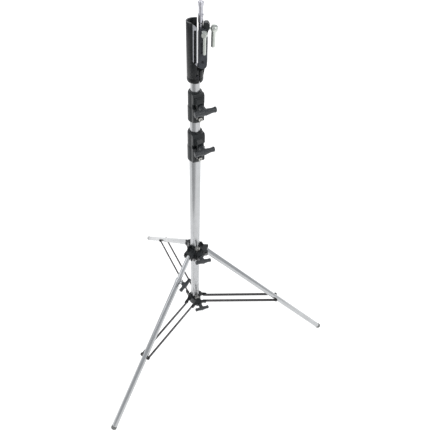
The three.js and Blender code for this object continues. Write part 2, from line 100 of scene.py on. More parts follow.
class Nodes:
    """A small node builder: one call makes one node, wired from the values it is given."""

    def __init__(self, name):
        self.material = bpy.data.materials.new(name)
        self.material.use_nodes = True
        self.tree = self.material.node_tree
        self.shader = self.tree.nodes["Principled BSDF"]

    def put(self, socket, value):
        if isinstance(value, bpy.types.NodeSocket):
            self.tree.links.new(value, socket)
        else:
            socket.default_value = value

    def add(self, kind, output=0, setting=None, **inputs):
        node = self.tree.nodes.new(kind)
        for key, value in (setting or {}).items():
            setattr(node, key, value)
        for key, value in inputs.items():
            self.put(node.inputs[key.replace("_", " ")], value)
        return node.outputs[output]

    def noise(self, place, scale, detail=3.0, rough=0.55):
        return self.add("ShaderNodeTexNoise", Vector=place, Scale=scale, Detail=detail, Roughness=rough)

    def stretched(self, place, x, y, z):
        return self.add("ShaderNodeMapping", Vector=place, Scale=(x, y, z))

    def fit(self, value, low, high, to_low, to_high):
        node = self.tree.nodes.new("ShaderNodeMapRange")
        for key, number in zip(range(5), (value, low, high, to_low, to_high)):
            self.put(node.inputs[key], number)
        return node.outputs[0]

    def mix(self, amount, a, b):
        node = self.tree.nodes.new("ShaderNodeMix")
        node.data_type = "RGBA"
        self.put(node.inputs[0], amount)
        self.put(node.inputs[6], a)
        self.put(node.inputs[7], b)
        return node.outputs[2]

    def maths(self, operation, a, b):
        node = self.tree.nodes.new("ShaderNodeMath")
        node.operation = operation
        self.put(node.inputs[0], a)
        self.put(node.inputs[1], b)
        return node.outputs[0]

    def bump(self, height, strength, distance, under=None):
        inputs = {"Height": height, "Strength": strength, "Distance": distance}
        if under is not None:
            inputs["Normal"] = under
        return self.add("ShaderNodeBump", **inputs)

    def object_place(self):
        return self.add("ShaderNodeTexCoord", output=3)

    def wear(self, low, high):
        """0 on flat faces, 1 on sharp outer edges."""
        edges = self.add("ShaderNodeNewGeometry", output=7)
        return self.fit(edges, low, high, 0.0, 1.0)


def rgb(r, g, b):
    return (r, g, b, 1.0)


def drawn_metal(name, light, dark, smooth, rough, lines=900, across=2.5, bump=0.06):
    """Bright metal with fine lines along its own Z, faint smudges and a slightly uneven polish."""
    n = Nodes(name)
    place = n.object_place()
    fine = n.noise(n.stretched(place, lines, lines, across), 1.0, 4.0)
    smudge = n.noise(place, 26.0, 5.0, 0.6)
    mixed = n.maths("ADD", n.maths("MULTIPLY", fine, 0.55), n.maths("MULTIPLY", smudge, 0.45))
    n.put(n.shader.inputs["Base Color"], n.mix(n.fit(mixed, 0.35, 0.65, 0.0, 1.0), dark, light))
    n.put(n.shader.inputs["Roughness"], n.fit(mixed, 0.3, 0.7, rough, smooth))
    n.put(n.shader.inputs["Metallic"], 1.0)
    n.put(n.shader.inputs["Normal"], n.bump(fine, bump, 0.0002))
    return n.material


def turned_metal(name, light, dark, smooth, rough):
    """Bright plated metal with fine rings round its own Z."""
    n = Nodes(name)
    place = n.object_place()
    rings = n.noise(n.stretched(place, 30, 30, 2600), 1.0, 3.0)
    stain = n.noise(place, 140.0, 4.0)
    n.put(n.shader.inputs["Base Color"], n.mix(n.fit(stain, 0.3, 0.75, 0.0, 1.0), dark, light))
    n.put(n.shader.inputs["Roughness"], n.fit(stain, 0.3, 0.7, smooth, rough))
    n.put(n.shader.inputs["Metallic"], 1.0)
    n.put(n.shader.inputs["Normal"], n.bump(rings, 0.10, 0.0001))
    return n.material


def coated(name, base, worn, roughness, ior, grain=2200, bump=0.12, wear=(0.54, 0.62), tone=0.25):
    """A coat on cast or rolled metal: fine orange peel, cloudy tone, edges a little worn."""
    n = Nodes(name)
    place = n.object_place()
    peel = n.noise(place, grain, 2.0)
    cloud = n.noise(place, 60.0, 5.0, 0.6)
    lighter = tuple(min(1.0, c * (1 + tone * 3)) for c in base[:3]) + (1.0,)
    toned = n.mix(n.fit(cloud, 0.35, 0.7, 0.0, 1.0), base, lighter)
    edge = n.maths("MULTIPLY", n.wear(*wear), n.fit(n.noise(place, 320.0, 3.0), 0.38, 0.62, 0.0, 0.8))
    n.put(n.shader.inputs["Base Color"], n.mix(edge, toned, worn))
    n.put(n.shader.inputs["Roughness"], n.fit(cloud, 0.3, 0.7, roughness * 0.82, roughness * 1.2))
    n.put(n.shader.inputs["Metallic"], n.maths("MULTIPLY", edge, 0.6))
    n.put(n.shader.inputs["Normal"], n.bump(peel, bump, 0.0002))
    n.shader.inputs["IOR"].default_value = ior
    return n.material


def moulded(name, base, light, roughness, grain=1500, bump=0.25):
    """Moulded plastic or rubber: fine spark texture, cloudy tone and scuffs."""
    n = Nodes(name)
    place = n.object_place()
    spark = n.noise(place, grain, 3.0)
    cloud = n.noise(place, 45.0, 4.0)
    scuff = n.fit(n.noise(n.stretched(place, 240, 900, 240), 1.0, 2.0), 0.62, 0.78, 0.0, 0.5)
    tone = n.maths("ADD", n.fit(cloud, 0.3, 0.75, 0.0, 0.6), scuff)
    n.put(n.shader.inputs["Base Color"], n.mix(tone, base, light))
    n.put(n.shader.inputs["Roughness"], n.fit(cloud, 0.3, 0.7, roughness * 0.85, roughness * 1.15))
    n.put(n.shader.inputs["Normal"], n.bump(spark, bump, 0.0002))
    return n.material


TUBE = drawn_metal("satin_chrome", rgb(0.50, 0.51, 0.52), rgb(0.42, 0.425, 0.43), 0.16, 0.30)
BAR_BRIGHT = drawn_metal("bright_chrome", rgb(0.62, 0.63, 0.64), rgb(0.52, 0.53, 0.54), 0.10, 0.22)
STUD = turned_metal("turned_stud", rgb(0.58, 0.58, 0.63), rgb(0.44, 0.44, 0.47), 0.20, 0.34)
ZINC = turned_metal("zinc", rgb(0.55, 0.55, 0.52), rgb(0.40, 0.39, 0.37), 0.30, 0.50)
STEEL = turned_metal("oiled_steel", rgb(0.24, 0.24, 0.24), rgb(0.15, 0.15, 0.15), 0.30, 0.50)
LEVER = turned_metal("plated_lever", rgb(0.62, 0.65, 0.61), rgb(0.48, 0.50, 0.47), 0.20, 0.36)
FLAT = drawn_metal("milled_flat", rgb(0.50, 0.51, 0.54), rgb(0.36, 0.37, 0.39), 0.30, 0.46, 1400, 900)
DARK_STEEL = turned_metal("dark_steel", rgb(0.09, 0.09, 0.10), rgb(0.04, 0.04, 0.045), 0.30, 0.5)
CASTING = coated("black_casting", rgb(0.012, 0.014, 0.015), rgb(0.10, 0.10, 0.10), 0.34, 1.36)
GLOSS = coated("black_gloss", rgb(0.006, 0.007, 0.008), rgb(0.07, 0.07, 0.07), 0.17, 1.34, 1500, 0.04)
GREY = coated("dark_grey_coat", rgb(0.036, 0.039, 0.046), rgb(0.14, 0.14, 0.15), 0.42, 1.40)
BRACE_BLACK = coated("black_bar", rgb(0.022, 0.020, 0.021), rgb(0.10, 0.09, 0.09), 0.40, 1.36, 1800)
KNOB = moulded("knob_black", rgb(0.022, 0.025, 0.028), rgb(0.052, 0.056, 0.060), 0.38)
FOOT = moulded("foot_rubber", rgb(0.16, 0.165, 0.16), rgb(0.26, 0.26, 0.25), 0.72, 900, 0.4)
NYLON = moulded("nylon", rgb(0.66, 0.65, 0.60), rgb(0.78, 0.77, 0.73), 0.48, 700, 0.15)
PLUG = moulded("plug_black", rgb(0.018, 0.018, 0.02), rgb(0.04, 0.04, 0.042), 0.5)

# ---- Solids, in millimetres ----------------------------------------------------------------------

FINE = 72                                  # sides of a round piece


def eased(points, radius, closed=False, steps=4):
    """The outline with each corner turned into a small arc."""
    out = []
    count = len(points)
    for i, (x, y) in enumerate(points):
        if not closed and i in (0, count - 1):
            out.append((x, y))
            continue
        here = Vector((x, y))
        before = Vector(points[i - 1]) - here
        after = Vector(points[(i + 1) % count]) - here
        if before.length < 1e-6 or after.length < 1e-6:
            out.append((x, y))
            continue
        half = before.angle(after) / 2
        if half > PI / 2 - 0.12 or half < 0.05:
            out.append((x, y))
            continue
        reach = min(radius / math.tan(half), before.length * 0.45, after.length * 0.45)
        start = here + before.normalized() * reach
        end = here + after.normalized() * reach
        for k in range(steps + 1):
            t = k / steps
            point = start * (1 - t) ** 2 + here * 2 * t * (1 - t) + end * t ** 2
            out.append((point.x, point.y))
    return out


def solid(verts, faces):
    bm = bmesh.new()
    made = [bm.verts.new(v) for v in verts]
    for face in faces:
        bm.faces.new([made[i] for i in face])
    bmesh.ops.recalc_face_normals(bm, faces=bm.faces)
    return bm


def turned(outline, sides=FINE):
    """Turned about Z from (radius, z) points: on the axis at both ends, or a ring that closes on itself."""
    ring = outline[0][0] > 0
    verts, rows = [], []
    for r, z in outline:
        if r == 0:
            rows.append([len(verts)])
            verts.append((0, 0, z))
            continue
        rows.append(list(range(len(verts), len(verts) + sides)))
        for i in range(sides):
            a = 2 * PI * i / sides
            verts.append((r * math.cos(a), r * math.sin(a), z))
    pairs = list(zip(rows, rows[1:]))
    if ring:
        pairs.append((rows[-1], rows[0]))
    faces = []
    for low, high in pairs:
        for i in range(sides):
            j = (i + 1) % sides
            corners = (low[i % len(low)], low[j % len(low)], high[j % len(high)], high[i % len(high)])
            face = list(dict.fromkeys(corners))
            if len(face) > 2:
                faces.append(face)
    return solid(verts, faces)


def rod(r, z0, z1, ease=0.0, sides=FINE):
    points = [(0, z0), (r, z0), (r, z1), (0, z1)]
    return turned(eased(points, ease) if ease else points, sides)


def pipe(r, wall, z0, z1, ease=0.35, sides=FINE):
    points = [(r - wall, z0), (r, z0), (r, z1), (r - wall, z1)]
    return turned(eased(points, ease, closed=True, steps=3), sides)


def plate(outline, y0, y1):
    """A flat plate with an outline of (x, z) points, spanning y0 to y1."""
    count = len(outline)
    verts = [(x, y0, z) for x, z in outline] + [(x, y1, z) for x, z in outline]
    faces = [list(range(count)), list(range(count, 2 * count))]
    for i in range(count):
        j = (i + 1) % count
        faces.append([i, j, j + count, i + count])
    return solid(verts, faces)


def block(x0, x1, y0, y1, z0, z1):
    return plate([(x0, z0), (x1, z0), (x1, z1), (x0, z1)], y0, y1)


def arc(x, z, r, start, end, steps=24):
    angles = [start + (end - start) * k / steps for k in range(steps + 1)]
    return [(x + r * math.cos(a), z + r * math.sin(a)) for a in angles]


def moved(bm, *matrices):
    for matrix in matrices:
        bm.transform(matrix)
    return bm


def shift(x, y, z):
    return Matrix.Translation((x, y, z))


def spin(degrees, axis):
    return Matrix.Rotation(math.radians(degrees), 4, axis)


def along_x(bm, z=0.0):
    return moved(bm, spin(90, "Y"), shift(0, 0, z))


def along_y(bm, x=0.0, z=0.0):
    return moved(bm, spin(-90, "X"), shift(x, 0, z))


def scratch(bm):
    """A working object for a modifier, which evaluated() removes again."""
    mesh = bpy.data.meshes.new("work")
    bm.to_mesh(mesh)
    bm.free()
    thing = bpy.data.objects.new("work", mesh)
    bpy.context.scene.collection.objects.link(thing)
    return thing


def evaluated(thing, *others):
    depsgraph = bpy.context.evaluated_depsgraph_get()
    mesh = bpy.data.meshes.new_from_object(thing.evaluated_get(depsgraph))
    bm = bmesh.new()
    bm.from_mesh(mesh)
    bpy.data.meshes.remove(mesh)
    for old in (thing, *others):
        data = old.data
        bpy.data.objects.remove(old)
        bpy.data.meshes.remove(data)
    return bm


def combined(base, tools, operation):
    thing = scratch(base)
    others = [scratch(tool) for tool in tools]
    for other in others:
        modifier = thing.modifiers.new("combine", "BOOLEAN")
        modifier.operation = operation
        modifier.solver = "EXACT"
        modifier.object = other
    return evaluated(thing, *others)


def joined(first, *rest):
    return combined(first, rest, "UNION")


def cut(base, *tools):
    return combined(base, tools, "DIFFERENCE")


def cast(bm, voxel, passes=4, keep=0.5):
    """Rounds every edge, as on a casting or a moulding."""
    thing = scratch(bm)
    remesh = thing.modifiers.new("remesh", "REMESH")
    remesh.mode = "VOXEL"
    remesh.voxel_size = voxel
    smooth = thing.modifiers.new("smooth", "SMOOTH")
    smooth.factor = 0.5
    smooth.iterations = passes
    thin = thing.modifiers.new("thin", "DECIMATE")
    thin.ratio = keep
    return evaluated(thing)


def bevelled(bm, width, segments=2, angle=35):
    thing = scratch(bm)
    bevel = thing.modifiers.new("bevel", "BEVEL")
    bevel.width = width
    bevel.segments = segments
    bevel.limit_method = "ANGLE"
    bevel.angle_limit = math.radians(angle)
    bevel.use_clamp_overlap = True
    return evaluated(thing)


def piece(name, bm, body, material, place, replaces=(), sharp=32):
    """Puts a solid made in millimetres into the scene: place is its frame, in metres."""
    bmesh.ops.scale(bm, vec=(MM, MM, MM), verts=bm.verts)
    mesh = bpy.data.meshes.new(name)
    bm.to_mesh(mesh)
    bm.free()
    mesh.polygons.foreach_set("use_smooth", [True] * len(mesh.polygons))
    mesh.set_sharp_from_angle(angle=math.radians(sharp))
    mesh.materials.append(material)
    thing = bpy.data.objects.new(name, mesh)
    thing.matrix_world = place
    bpy.context.scene.collection.objects.link(thing)
    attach(thing, body)
    if replaces:
        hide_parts(*replaces)
    return thing


# ---- Frames --------------------------------------------------------------------------------------

LEG_AZIMUTH = {1: 240, 2: 0, 3: 120}
KNOB_AZIMUTH = 300
LEAN = 46.32
DIP = 90 - LEAN
RISE = 6.28


def at(x, y, z):
    return Matrix.Translation((x * MM, y * MM, z * MM))


COLUMN = Matrix.Translation((AXIS_X, 0, 0))


def facing(azimuth, z=0.0):
    """Frame on the column's axis with +X towards an azimuth."""
    return COLUMN @ spin(azimuth, "Z") @ at(0, 0, z)


LEG_PIVOT = (43.6, 532.3)
BRACE_PIVOT = (40.35, 200.7)


def leg_frame(number):
    """Origin at the leg's pivot, +X towards the foot."""
    return facing(LEG_AZIMUTH[number]) @ at(LEG_PIVOT[0], 0, LEG_PIVOT[1]) @ spin(DIP, "Y")


def brace_frame(number):
    return facing(LEG_AZIMUTH[number]) @ at(BRACE_PIVOT[0], 0, BRACE_PIVOT[1]) @ spin(-RISE, "Y")


ALONG_X = spin(90, "Y")                    # turns a piece made along Z to lie along +X
ALONG_Y = spin(-90, "X")

# ---- Tubes ---------------------------------------------------------------------------------------

COLUMN_R, RISER_R, TOP_R, LEG_R, LEVEL_R = 17.5, 15.0, 12.5, 11.0, 9.4
BRACE_AT = 430

for name, body, r, wall, low, high in (
    ("column_tube", "column", COLUMN_R, 1.5, 180, 1006),
    ("riser_tube", "riser", RISER_R, 1.4, 216, 1130),
    ("top_tube", "top", TOP_R, 1.4, 252, 1228),
):
    piece(f"{name}_skin", pipe(r, wall, low, high, sides=96), body, TUBE, COLUMN, [name])


def leg_tube(r, wall, start, end, holes):
    tube = pipe(r, wall, start, end)
    drills = [moved(rod(radius, -30, 30, sides=32), spin(90, "X"), shift(0, 0, s)) for radius, s in holes]
    return cut(tube, *drills)


for number, body, start, holes in (
    (1, "leg_1_tube", 96, [(4.5, BRACE_AT)]),
    (2, "leg_2", -6, [(4, 0), (4.5, BRACE_AT)]),
    (3, "leg_3", -6, [(4, 0), (4.5, BRACE_AT)]),
):
    tube = leg_tube(LEG_R, 1.2, start, 748, holes)
    piece(f"leg_{number}_skin", tube, body, TUBE, leg_frame(number) @ ALONG_X, [f"leg_tube_{number}"])

level_bar = leg_tube(LEVEL_R, 1.6, -6, 240, [(4, 0)])
piece("level_bar_skin", level_bar, "leg_1_bar", BAR_BRIGHT, leg_frame(1) @ ALONG_X, ["levelling_bar"])

# ---- Feet, pins and bolts ------------------------------------------------------------------------


def foot_plug():
    """A ribbed rubber cap, worn flat where it meets the floor."""
    ribs = [
        (11.4, 748.3), (11.4, 750.4), (10.9, 751.0), (11.4, 751.6),
        (11.4, 754.6), (10.9, 755.2), (11.4, 755.8),
    ]
    outline = [(0, 734), (9.5, 734), (9.5, 748.3), *ribs, (11.4, 760), (10.2, 762), (0, 762)]
    cap = moved(turned(eased(outline, 0.5, steps=3)), ALONG_X)
    floor = Matrix.Translation((LEG_PIVOT[0], 0, LEG_PIVOT[1])) @ spin(DIP, "Y")
    up = floor.inverted().to_3x3() @ Vector((0, 0, 1))
    point = floor.inverted() @ Vector((600, 0, 0))
    geometry = list(cap.verts) + list(cap.edges) + list(cap.faces)
    sliced = bmesh.ops.bisect_plane(cap, geom=geometry, plane_co=point, plane_no=up, clear_inner=True)
    edges = [part for part in sliced["geom_cut"] if isinstance(part, bmesh.types.BMEdge)]
    bmesh.ops.holes_fill(cap, edges=edges)
    return cap


def fork_bolt():
    """A bolt along Z with a washer and a chamfered hexagon at each end."""
    reach, end, washer, across = 17.8, 20.8, 6, 5.4
    half = [(3.5, reach), (washer, reach), (washer, reach + 1.5), (3.5, reach + 1.5)]
    lower = [(r, -z) for r, z in reversed(half)]
    spindle = turned(eased([(0, -reach - 1.5), *lower, *half, (0, reach + 1.5)], 0.3, steps=3), 48)
    crown = [
        (0, -end), (across - 0.9, -end), (across, -end + 1.2),
        (across, end - 1.2), (across - 0.9, end), (0, end),
    ]
    ends = cut(rod(across, -end, end, sides=6), rod(40, -reach - 1.2, reach + 1.2))
    return bevelled(joined(spindle, combined(ends, [turned(crown, 48)], "INTERSECT")), 0.25)


def headed_pin(r, head, reach, end, dome=1.2):
    """A pin along Z with a domed head at each end."""
    half = [(r, reach), (head, reach), (head, end - dome), (head * 0.8, end - dome * 0.3), (head * 0.35, end)]
    lower = [(radius, -z) for radius, z in reversed(half)]
    return turned(eased([(0, -end), *lower, *half, (0, end)], 0.4, steps=3), 48)


for number, tube_body in ((1, "leg_1_tube"), (2, "leg_2"), (3, "leg_3")):
    place = leg_frame(number)
    piece(f"foot_{number}", foot_plug(), tube_body, FOOT, place, [f"foot_plug_{number}"])
    piece(f"fork_pin_{number}", fork_bolt(), "spider", STEEL, place @ ALONG_Y, [f"leg_pin_{number}"])
    bolt = headed_pin(4, 7, 11.5, 12.9, 0.5)
    where = place @ at(BRACE_AT, 0, 0) @ ALONG_Y
    piece(f"brace_stud_{number}", bolt, tube_body, ZINC, where, [f"brace_bolt_{number}"])

# ---- Braces --------------------------------------------------------------------------------------

BRACE_LENGTH = 316.1
BAR_IN, BAR_OUT, BAR_HALF, EAR_OUT = 13.4, 17.4, 7.2, 22.6


def brace_bar(side):
    outline = arc(BRACE_LENGTH, 0, BAR_HALF, -PI / 2, PI / 2, 16)
    outline += arc(0, 0, BAR_HALF, PI / 2, PI * 1.5, 16)
    low, high = sorted((side * BAR_IN, side * BAR_OUT))
    bar = cut(plate(outline, low, high), along_y(rod(3.5, -30, 30, sides=32)))
    return bevelled(bar, 0.7, 3)


def brace_head(side):
    """The black domed nut that closes the bar on the leg's bolt."""
    outline = [(0, 16.8), (4.4, 16.8), (5.6, 17.5), (5.6, 19.6), (4.6, 20.7), (2.6, 21.0), (0, 21.0)]
    head = turned(eased([(r, z) for r, z in outline], 0.4, steps=3), 40)
    return head if side > 0 else moved(head, spin(180, "X"))


def brace_rivet(side):
    inside, outside = BAR_IN - 0.4, EAR_OUT + 0.4
    outline = [
        (0, inside - 2.6), (3.2, inside - 2.6), (5, inside - 1.4), (5, inside), (3, inside),
        (3, outside), (5, outside), (5, outside + 0.8), (3.2, outside + 1.8), (0, outside + 1.8),
    ]
    rivet = turned(eased(outline, 0.4, steps=3), 40)
    return rivet if side > 0 else moved(rivet, spin(180, "X"))


for number in (1, 2, 3):
    place = brace_frame(number)
    brace = f"brace_{number}"
    nut_place = place @ at(BRACE_LENGTH, 0, 0) @ ALONG_Y
    for word, side in (("left", 1), ("right", -1)):
        node = f"brace_bar_{number}_{word}"
        piece(f"flat_{number}_{word}", brace_bar(side), brace, BRACE_BLACK, place, [node])
        piece(f"brace_nut_{number}_{word}", brace_head(side), brace, BRACE_BLACK, nut_place)
        node = f"brace_rivet_{number}_{word}"
        piece(f"rivet_{number}_{word}", brace_rivet(side), "column", STEEL, place @ ALONG_Y, [node])

# ---- Clamp knobs ---------------------------------------------------------------------------------

KNOB_BAR = 31


def clamp_knob(hub, bar):
    """A moulded T bar on a tapered neck, along +X."""
    neck = [(0, hub), (7, hub), (8.5, hub + 3), (7.6, bar)]
    neck += [(6.4, bar + 7.2), (4.8, bar + 7.8), (0, bar + 7.8)]
    half = [(8.7, 0), (8.4, 9), (7.2, 16), (7.1, 23), (8.1, 28), (7.7, KNOB_BAR), (0, KNOB_BAR)]
    other = [(r, -z) for r, z in reversed(half[1:])]
    handle = moved(turned(eased(other + half, 1.5), 56), Matrix.Scale(0.9, 4, (1, 0, 0)))
    shape = joined(along_x(turned(eased(neck, 1.0), 56)), along_y(handle, bar))
    return cast(shape, 0.8, 5, 0.45)


def threaded_stud(start, end):
    """A threaded stud along Z, its thread as fine rings."""
    outline = [(0, start), (3.2, start)]
    z = start + 0.5
    while z < end - 1.2:
        outline += [(3.8, z), (3.3, z + 0.6)]
        z += 1.2
    return turned([*outline, (3.3, end), (0, end)], 32)


def add_knob(node, body, place, stud, hub, bar):
    piece(f"{node}_grip", clamp_knob(hub, bar), body, KNOB, place, [node], 60)
    piece(f"{node}_stud", threaded_stud(stud, hub + 4), body, ZINC, place @ ALONG_X)


BASE_COLLAR = {"z": 960, "h": 98, "r": 23, "lower": COLUMN_R, "upper": RISER_R, "lower_top": 1006.4}
RISER_COLLAR = {"z": 1090, "h": 85, "r": 20.5, "lower": RISER_R, "upper": TOP_R, "lower_top": 1130.4}
UPPER_KNOB_Z, LOWER_KNOB_Z = 537, 207

for node, body, z, stud, hub, bar, roll in (
    ("upper_spider_knob", "upper_knob", UPPER_KNOB_Z, 24.6, 45.6, 69, -14),
    ("lower_spider_knob", "lower_knob", LOWER_KNOB_Z, 24.6, 45.6, 69, -14),
    ("base_collar_knob", "base_knob", 1020.76, 20.4, 36.6, 60, 1),
    ("riser_collar_knob", "riser_knob", 1142.7, 17.9, 34.1, 60, 1),
):
    add_knob(node, body, facing(KNOB_AZIMUTH, z) @ spin(roll, "X"), stud, hub, bar)

LEVEL_SCREW = 102
level_place = leg_frame(1) @ at(LEVEL_SCREW, 0, 0) @ spin(-DIP, "Y") @ spin(90, "Z")
add_knob("levelling_knob", "level_knob", level_place, LEVEL_R + 0.5, 20, 33)

# ---- Spiders -------------------------------------------------------------------------------------

BOSS_END = 45


def spider(z, low, high, inner, outer, outline, web, hole, knob_z, boss_low, boss_high):
    bore = COLUMN_R + 0.4
    ring = [(bore - 2, z + low), (24.5, z + low), (25.5, z + low + 4), (24.5, z + high), (bore - 2, z + high)]
    boss = [
        (16, knob_z + boss_low), (40, knob_z + boss_low + 4), (BOSS_END, knob_z - 9),
        (BOSS_END, knob_z + 9), (34, knob_z + boss_high), (16, knob_z + boss_high),
    ]
    turn = spin(KNOB_AZIMUTH, "Z")
    body = [turned(ring), moved(plate(boss, -11.5, 11.5), turn)]
    holes = [
        rod(bore, z + low - 40, z + high + 40),
        moved(along_x(rod(4.3, 10, 60, sides=32), knob_z), turn),
        moved(block(14, 25, -10, 10, knob_z - 12, knob_z + 60), turn),
    ]
    for azimuth in LEG_AZIMUTH.values():
        face = spin(azimuth, "Z")
        raised = [(x, z + up) for x, up in outline]
        body.append(moved(plate(raised, inner, outer), face))
        body.append(moved(plate(raised, -outer, -inner), face))
        if web:
            body.append(moved(block(20, 46, -outer, outer, z + 13, z + 16), face))
        holes.append(moved(along_y(rod(hole[0], -30, 30, sides=32), hole[1], z), face))
    return cast(cut(joined(*body), *holes), 0.95, 3, 0.45)


UPPER_EAR = [(13, 30), (25, 31), (32, 16), (50, 16), (50, -8), (46, -12), (37, -14), (29, -32), (13, -32)]
LOWER_EAR = [
    (6, 24), (22, 22), (30, 10), (48, 9), (51, 5),
    (51, -5), (48, -9), (30, -10), (24, -18), (6, -18),
]
upper_spider = spider(532.3, -32, 20, 12, 17.4, UPPER_EAR, True, (4, 43.6), UPPER_KNOB_Z, -30, 12)
piece("upper_spider_cast", upper_spider, "spider", CASTING, COLUMN, ["upper_spider"], 70)
lower_spider = spider(200.7, -19, 24, 17.8, 22.6, LOWER_EAR, False, (3.5, 40.35), LOWER_KNOB_Z, -22, 12)
piece("lower_spider_cast", lower_spider, "column", CASTING, COLUMN, ["lower_spider"], 70)


def clamp_shoe(r, depth, half, z0, z1):
    pad = block(r - 3, r + 0.4 + depth, -half, half, z0, z1)
    return bevelled(cut(pad, rod(r + 0.4, z0 - 1, z1 + 1)), 0.7)


for name, body, r, depth, half, low, high in (
    ("upper_clamp_shoe", "spider", COLUMN_R, 6, 9.5, UPPER_KNOB_Z - 10, UPPER_KNOB_Z + 23),
    ("lower_clamp_shoe", "column", COLUMN_R, 6, 9.5, LOWER_KNOB_Z - 10, LOWER_KNOB_Z + 21),
    ("base_collar_shoe", "column", RISER_R, 4.5, 7, 1010.76, 1030.76),
    ("riser_collar_shoe", "riser", TOP_R, 4.5, 7, 1132.7, 1152.7),
):
    shoe = clamp_shoe(r, depth, half, low, high)
    piece(f"{name}_pad", shoe, body, ZINC, facing(KNOB_AZIMUTH), [name])

# ---- Collars -------------------------------------------------------------------------------------


def collar(z, h, r, lower, upper, lower_top):
    def up(part):
        return z + part * h

    bore = upper - 2
    knob_z = up(0.62)
    ring = [
        (bore, z), (r - 2, z), (r, z + 3), (r, up(0.5)), (r - 1, up(0.53)),
        (r - 1, up(0.95)), (r - 3, up(1)), (bore, up(1)),
    ]
    front = [(2, z + 4), (r + 1, z + 4), (r + 3, z + 8), (r + 3, up(0.9)), (r, up(0.98)), (2, up(0.98))]
    boss = [
        (12, up(0.4)), (r + 6, up(0.42)), (r + 13, up(0.5)),
        (r + 13, up(0.74)), (r + 5, up(0.84)), (12, up(0.84)),
    ]
    foot = [(0, 8), (12, 8), (12, r + 6), (9.5, r + 9), (0, r + 9)]
    shape = cut(
        joined(
            turned(ring),
            plate(front, 4 - r, r - 4),
            plate(boss, -10.5, 10.5),
            along_x(turned(foot), up(0.2)),
        ),
        rod(lower + 0.3, z - 1, lower_top),
        rod(upper + 0.4, z - 1, up(1) + 1),
        block(upper - 4, r + 4.6, -7.5, 7.5, knob_z - 11, knob_z + 11),
        block(r - 4, r + 9, -r, r, knob_z - 8, knob_z + 4),
        along_x(rod(4.3, 10, r + 30, sides=32), knob_z),
        along_x(rod(3.4, 10, r + 30, sides=32), up(0.2)),
    )
    return cast(shape, 0.85, 3, 0.45)


def socket_bolt(start, head):
    """A cap screw along Z with a hexagon socket."""
    outline = [
        (0, start), (3, start), (3, head), (5.5, head), (5.5, head + 4.1), (5.1, head + 4.5), (0, head + 4.5),
    ]
    hexagon = moved(rod(2.9, head + 1.6, head + 9, sides=6), spin(15, "Z"))
    return bevelled(cut(turned(outline, 48), hexagon), 0.2)


for name, body, size in (("base_collar", "column", BASE_COLLAR), ("riser_collar", "riser", RISER_COLLAR)):
    place = facing(KNOB_AZIMUTH)
    shape = collar(size["z"], size["h"], size["r"], size["lower"], size["upper"], size["lower_top"])
    piece(f"{name}_cast", shape, body, CASTING, place, [name], 70)
    bolt = socket_bolt(size["lower"] + 0.6, size["r"] + 9.4)
    bolt_place = place @ at(0, 0, size["z"] + 0.2 * size["h"]) @ ALONG_X
    piece(f"{name}_screw", bolt, body, ZINC, bolt_place, [f"{name}_bolt"])
    set_screw = cut(rod(1.8, size["r"] + 4, size["r"] + 9.4, 0.3, 32), rod(0.9, size["r"] + 8.4, 60, sides=6))
    set_place = bolt_place @ at(-3, -8.6, 0)
    piece(f"{name}_set_screw", set_screw, body, ZINC, set_place)

# ---- Levelling clamp -----------------------------------------------------------------------------


def levelling_clamp():
    """A thin band with a lug, made along Z like its tube. The lug looks along +Y."""
    band = pipe(12.6, 4, 92, 109, 0.5)
    lug = moved(rod(6.5, LEG_R, 19.4, 1.0), spin(-90, "X"), shift(0, 0, LEVEL_SCREW))
    screw = moved(rod(4.3, 0, 30, sides=32), spin(-90, "X"), shift(0, 0, LEVEL_SCREW))
    return bevelled(
        cut(joined(band, lug), rod(LEG_R + 0.4, 95.4, 200), rod(LEVEL_R + 0.6, 0, 200), screw), 0.4, 2, 40
    )


clamp_place = leg_frame(1) @ ALONG_X
band = levelling_clamp()
piece("level_clamp_band", band, "leg_1_tube", BAR_BRIGHT, clamp_place, ["levelling_clamp"])

# ---- Plugs and bushes ----------------------------------------------------------------------------


def plug_for(tube_r, wall, z, length, flange, flange_height):
    spigot = tube_r - wall - 0.3
    outline = [
        (0, z - flange_height), (flange, z - flange_height), (flange, z - 0.4),
        (spigot, z - 0.4), (spigot, z + length), (0, z + length),
    ]
    return turned(eased(outline, 0.6, steps=3), 64)


for name, body, material, slot, shape in (
    ("column_end_plug", "column", PLUG, "plug", plug_for(COLUMN_R, 1.5, 180, 20, COLUMN_R, 3)),
    ("riser_foot_bush", "riser", NYLON, "bush", plug_for(RISER_R, 1.4, 216, 18, 15.6, 10)),
    ("top_foot_bush", "top", NYLON, "bush", plug_for(TOP_R, 1.4, 252, 18, 13.2, 10)),
):
    piece(f"{name}_body", shape, body, material, COLUMN, [name])

# ---- Head ----------------------------------------------------------------------------------------

BOTTOM, SILL, TOP = 1199, 1232, 1341
CUT_X, BACK_CUT_X = 6.5, 3.5
FLAT_Y = 20.3
PIVOT_X, PIVOT_Z = 18.8, 1252
SCREW_X, SCREW_Z = 8.2, 1219.5


